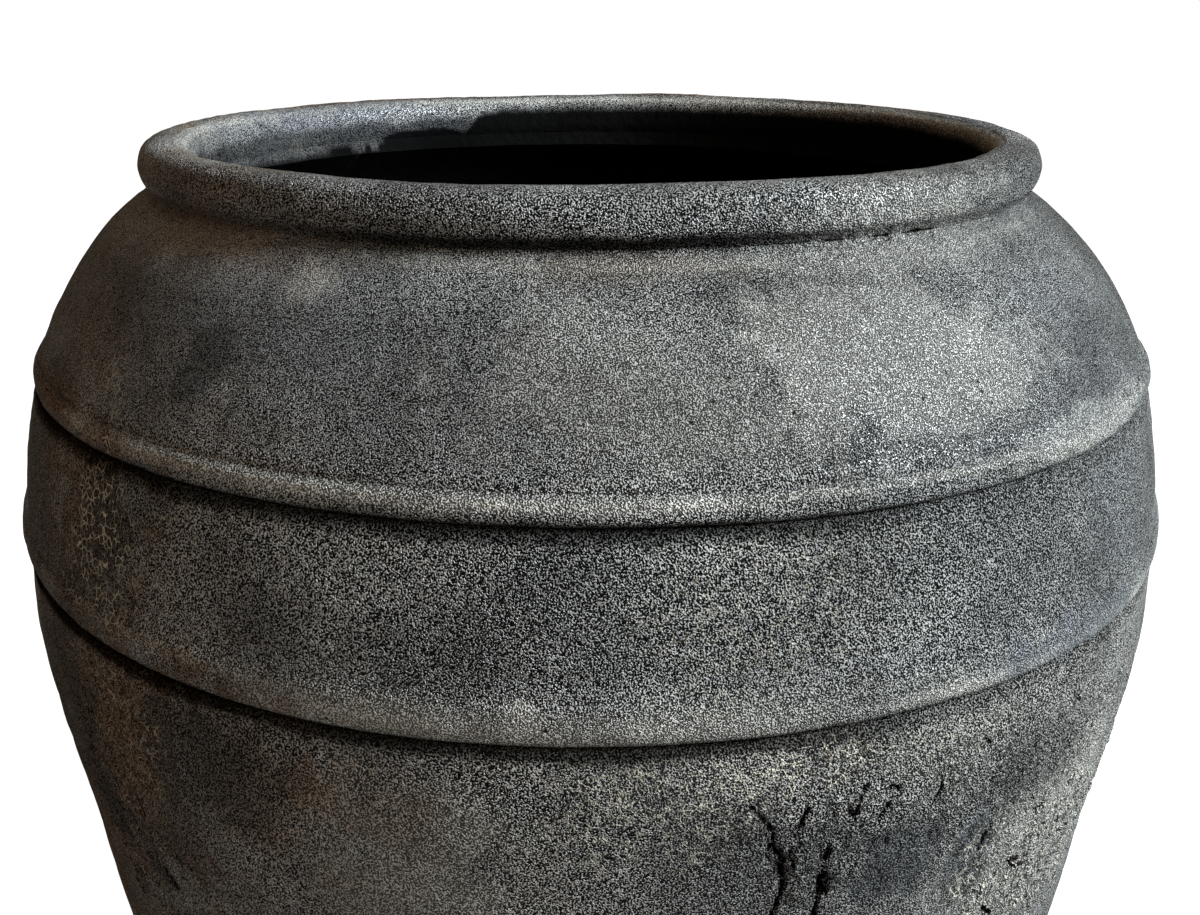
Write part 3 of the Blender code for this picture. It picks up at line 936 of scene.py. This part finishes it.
def clay_colour(tree, field, pit, top):
    """The colour of the clay: pit and top are the colours of its grain."""
    tops, clouds = field["tops"], field["clouds"]
    grain = node(tree, "Mix", {0: tops, 6: srgb(pit), 7: srgb(top)}, **MIX)
    # Blue-grey of the rubbed patches, partly a painted reflection of the cool key light.
    slate = node(tree, "Mix", {0: tops, 6: srgb("#24272b"), 7: srgb("#62666d")}, **MIX)
    # Near black inside the mouth: partly soot, partly painted shade.
    soot = node(tree, "Mix", {0: clouds, 6: srgb("#010101"), 7: srgb("#101010")}, **MIX)
    cloud = node(tree, "MapRange", {0: clouds, 1: 0.34, 2: 0.66, 3: 0.62, 4: 1.22}, **SMOOTH)
    dust_and_sheen_on_tops = node(tree, "MapRange", {0: tops, 3: 0.22, 4: 0.85})
    chalk_and_sheen_share = node(tree, "Math", {0: dust_and_sheen_on_tops, 1: field["chalky"]}, operation="MULTIPLY")
    stain_and_shade = {}
    for quality, most in STAIN_AND_SHADE_SHARES.items():
        stain_and_shade[quality] = node(tree, "Math", {0: field[quality], 1: most}, operation="MULTIPLY")
    layers = [
        (1.0, cloud, "MULTIPLY"),
        # Pale dust and worn edges, with painted highlights on lit edges and on the right shoulder.
        (chalk_and_sheen_share, srgb("#bab7ae"), "MIX"),
        # Slate grey, partly a painted blue reflection of the key light on the right.
        (stain_and_shade["slate"], slate, "MIX"),
        # Brown stains, also painted warm shade on the left side.
        (stain_and_shade["umber"], srgb("#b8874e"), "MULTIPLY"),
        (stain_and_shade["smoked"], srgb("#0b0b0a"), "MIX"),
        (field["lines"], srgb("#c0bbaa"), "MIX"),
        (field["pits"], srgb("#0c0c0c"), "MIX"),
        (field["crevice"], srgb("#0c0b0a"), "MIX"),
        # Painted shade in the grooves under the bands and the rim.
        (stain_and_shade["groove_shade"], srgb("#060606"), "MIX"),
        # The inside below the slip: partly soot, partly painted shade.
        (field["soot"], soot, "MIX"),
        (field["crack"], srgb("#020202"), "MIX"),
    ]
    colour = grain
    for share, over, how in layers:
        colour = node(tree, "Mix", {0: share, 6: colour, 7: over}, blend_type=how, **MIX)
    return colour


# %% [markdown]
# The relief is worked out in millimetres, so the bump node's distance is one millimetre. Where
# the clay is slate grey it was rubbed smooth, and inside the mouth it was wiped with a wet hand,
# so the grain is shallower there. Fired clay reflects like any mineral, with an index of 1.5. Its
# gloss sits on the tops of the grain, while soot and smoke, the pale dust with its painted
# highlights, and the painted shade in the grooves and inside the mouth are dull.

# %% Relief, and the whole finish
DEPTHS_MM = {"lines": 0.35, "pits": -0.5, "crevice": -0.8, "crack": -1.2}
ROUGHENED = {"slate": -0.08, "chalky": 0.18, "smoked": 0.10, "groove_shade": 0.30, "soot": 0.5}


def clay_bump(tree, field, relief):
    """The bump of the clay: relief is the depth of its grain in millimetres."""
    quiet = node(tree, "Math", {0: field["slate"], 1: 0.5, 2: field["inner"]}, operation="MULTIPLY_ADD")
    quiet = node(tree, "MapRange", {0: quiet, 3: relief, 4: relief * 0.15})
    height = node(tree, "Math", {0: field["grain"], 1: quiet}, operation="MULTIPLY")
    scales = node(tree, "Math", {0: field["scraps"], 1: field["flaked"]}, operation="MULTIPLY")
    parts = [(field["clumps"], relief * 1.2), (scales, 2.2)]
    parts += [(field[name], depth) for name, depth in DEPTHS_MM.items()]
    for part, depth in parts:
        height = node(tree, "Math", {0: part, 1: depth, 2: height}, operation="MULTIPLY_ADD")
    return node(tree, "Bump", {"Height": height, "Distance": MM, "Strength": 1.0})


def clay(name, pit, top, relief, roughness, grain_mm):
    """A fired clay finish."""
    material = bpy.data.materials.new(name)
    material.use_nodes = True
    tree = material.node_tree
    tree.nodes.clear()
    field = clay_patterns(tree, grain_mm)
    rough = node(tree, "MapRange", {0: field["tops"], 3: roughness + 0.12, 4: roughness - 0.06})
    for quality, change in ROUGHENED.items():
        rough = node(tree, "Math", {0: field[quality], 1: change, 2: rough}, operation="MULTIPLY_ADD",
                     use_clamp=True)
    shine = node(tree, "MapRange", {0: field["tops"], 3: 0.06, 4: 0.62})
    for quality in ("soot", "groove_shade", "cleft"):
        dull = node(tree, "MapRange", {0: field[quality], 1: 0.1, 2: 0.9, 3: 1.0, 4: 0.03})
        shine = node(tree, "Math", {0: shine, 1: dull}, operation="MULTIPLY")
    shader = node(tree, "BsdfPrincipled", {
        "Base Color": clay_colour(tree, field, pit, top),
        "Roughness": rough,
        "Normal": clay_bump(tree, field, relief),
        "IOR": 1.5,
        "Specular IOR Level": shine,
    })
    node(tree, "OutputMaterial", {"Surface": shader})
    return material


# %% [markdown]
# One builder makes five finishes of the same clay: the pits' and the tops' colours, the depth of
# the grain, its roughness and its size. The shoulder was rubbed smoothest before firing, so its
# grain is the finest and its sheen the strongest. The collar and the body below were only
# scraped, the bands and the rim were also handled, and the base and the coil on the floor inside
# are smoked and matt. Each piece takes the finish that its slot names, apart from the collar.

# %% The five finishes
FINISHES = {
    "black_clay": clay("black_clay", "#050505", "#8e8e8c", 1.10, 0.37, 0.54),
    "coarse_clay": clay("coarse_clay", "#040404", "#8f8f8c", 1.30, 0.44, 0.70),
    "worn_clay": clay("worn_clay", "#040404", "#8f8d88", 1.35, 0.48, 0.74),
    "rubbed_clay": clay("rubbed_clay", "#060606", "#8c8c8a", 1.05, 0.38, 0.66),
    "smoked_clay": clay("smoked_clay", "#080707", "#4a4640", 0.60, 0.62, 0.54),
}
for name, piece in pieces.items():
    finish = "coarse_clay" if name == "collar_course" else piece["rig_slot"]
    piece.data.materials.append(FINISHES[finish])
print("finishes", sorted(FINISHES))

# %% [markdown]
# ## Floor, light and camera
#
# The pot is very dark, so it needs a lot of light, and a pale floor then burns out to white, as
# it does in a studio. The key light is a cool softbox to the right, a little above, which rakes
# across the front and brings out the grain. A softer one in front fills its shadows, and a weak
# warm one stands to the left. The camera looks down on the mouth at twenty degrees.

# %% Floor and surroundings
def stage_material(name, colour, glow):
    """A matt pale surface that also glows a little for the camera, so that it stays white."""
    material = bpy.data.materials.new(name)
    material.use_nodes = True
    tree = material.node_tree
    tree.nodes.clear()
    matt = node(tree, "BsdfDiffuse", {"Color": srgb(colour)})
    light = node(tree, "Emission", {"Color": srgb("#ffffff"), "Strength": glow})
    seen = node(tree, "LightPath", out="Is Camera Ray")
    glowing = node(tree, "AddShader", {0: matt, 1: light})
    node(tree, "OutputMaterial", {"Surface": node(tree, "MixShader", {0: seen, 1: matt, 2: glowing})})
    return material


FLOOR_RADIUS = 14.0
bm = bmesh.new()
bmesh.ops.create_circle(bm, cap_ends=True, segments=96, radius=FLOOR_RADIUS)
floor_mesh = bpy.data.meshes.new("floor")
bm.to_mesh(floor_mesh)
bm.free()
floor = bpy.data.objects.new("floor", floor_mesh)
bpy.context.scene.collection.objects.link(floor)
floor_mesh.materials.append(stage_material("pale_floor", "#9a9a98", 1.0))
print("floor", FLOOR_RADIUS, "m in radius")

world = bpy.data.worlds.new("soft_room")
bpy.context.scene.world = world
world.use_nodes = True
tree = world.node_tree
tree.nodes.clear()
room = node(tree, "Background", {"Color": srgb("#ffe0bc"), "Strength": 0.15})
paper = node(tree, "Background", {"Color": srgb("#ffffff"), "Strength": 1.0})
seen = node(tree, "LightPath", out="Is Camera Ray")
node(tree, "OutputWorld", {"Surface": node(tree, "MixShader", {0: seen, 1: room, 2: paper})})


# %% Lights
def softbox(name, towards, distance, size, watts, colour):
    """A square area light that faces the pot's shoulder from a direction."""
    aim = Vector((0, 0, 0.50))
    data = bpy.data.lights.new(name, "AREA")
    data.shape = "SQUARE"
    data.size = size
    data.energy = watts
    data.color = srgb(colour)[:3]
    lamp = bpy.data.objects.new(name, data)
    lamp.location = aim + Vector(towards).normalized() * distance
    lamp.rotation_euler = (aim - lamp.location).to_track_quat("-Z", "Y").to_euler()
    bpy.context.scene.collection.objects.link(lamp)


softbox("key", (0.80, -0.28, 0.52), 2.4, 1.0, 190, "#e7f3fb")
softbox("fill", (-0.8, -0.5, 0.35), 2.6, 1.4, 7.2, "#ffc68a")
softbox("front", (0.45, -0.75, 0.55), 3.0, 1.4, 28, "#fff6ea")

# %% Camera
CAMERA_PLACE = (0.0008, -0.6938, 0.7067)
LOOK_DOWN, TURN, ROLL_ANGLE = 19.966, 0.324, 0.372
camera = bpy.data.cameras.new("camera")
camera.sensor_width = 36.0
camera.lens = 38.61
eye = bpy.data.objects.new("camera", camera)
view = Matrix.Rotation(math.radians(-TURN), 4, "Z") @ Matrix.Rotation(math.radians(90 - LOOK_DOWN), 4, "X")
view = view @ Matrix.Rotation(math.radians(ROLL_ANGLE), 4, "Z")
eye.matrix_world = Matrix.Translation(CAMERA_PLACE) @ view
bpy.context.scene.collection.objects.link(eye)
bpy.context.scene.camera = eye
bpy.context.scene.view_settings.view_transform = "Standard"
print("camera axes", [round(x, 4) for row in eye.matrix_world.to_3x3() for x in row])
